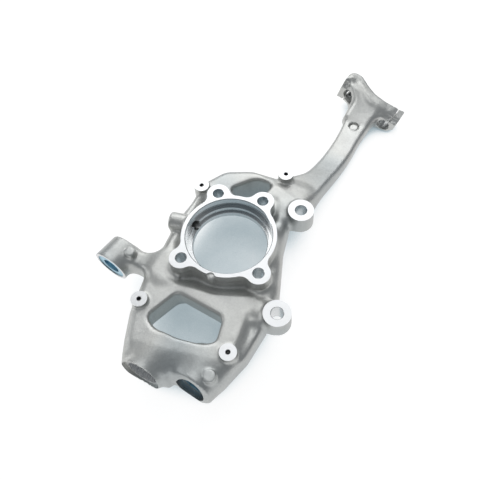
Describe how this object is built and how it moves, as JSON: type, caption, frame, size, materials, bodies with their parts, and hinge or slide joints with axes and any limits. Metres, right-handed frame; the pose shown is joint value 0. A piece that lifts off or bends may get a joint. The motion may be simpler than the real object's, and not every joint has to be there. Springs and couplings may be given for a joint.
{
  "type": "steering knuckle",
  "caption": "Cast aluminium steering knuckle with hub flange, link sockets, caliper lugs, tie-rod arm and a swan neck ending in a split link head.",
  "frame": {"origin": "hub axis at the bearing flange face", "axes": "+Z along the hub axis towards the wheel, +Y up to the link head, +X to the brake caliper"},
  "size_m": [0.349, 0.5307, 0.0833],
  "materials": {
    "cast_aluminium": "as cast, machined on its faces and bores",
    "zinc_steel": "zinc plated, pale blue"
  },
  "bodies": {
    "root": {"knuckle_body": "cast_aluminium", "tie_rod_sleeve": "zinc_steel", "lower_link_sleeve": "zinc_steel"}
  },
  "joints": []
}
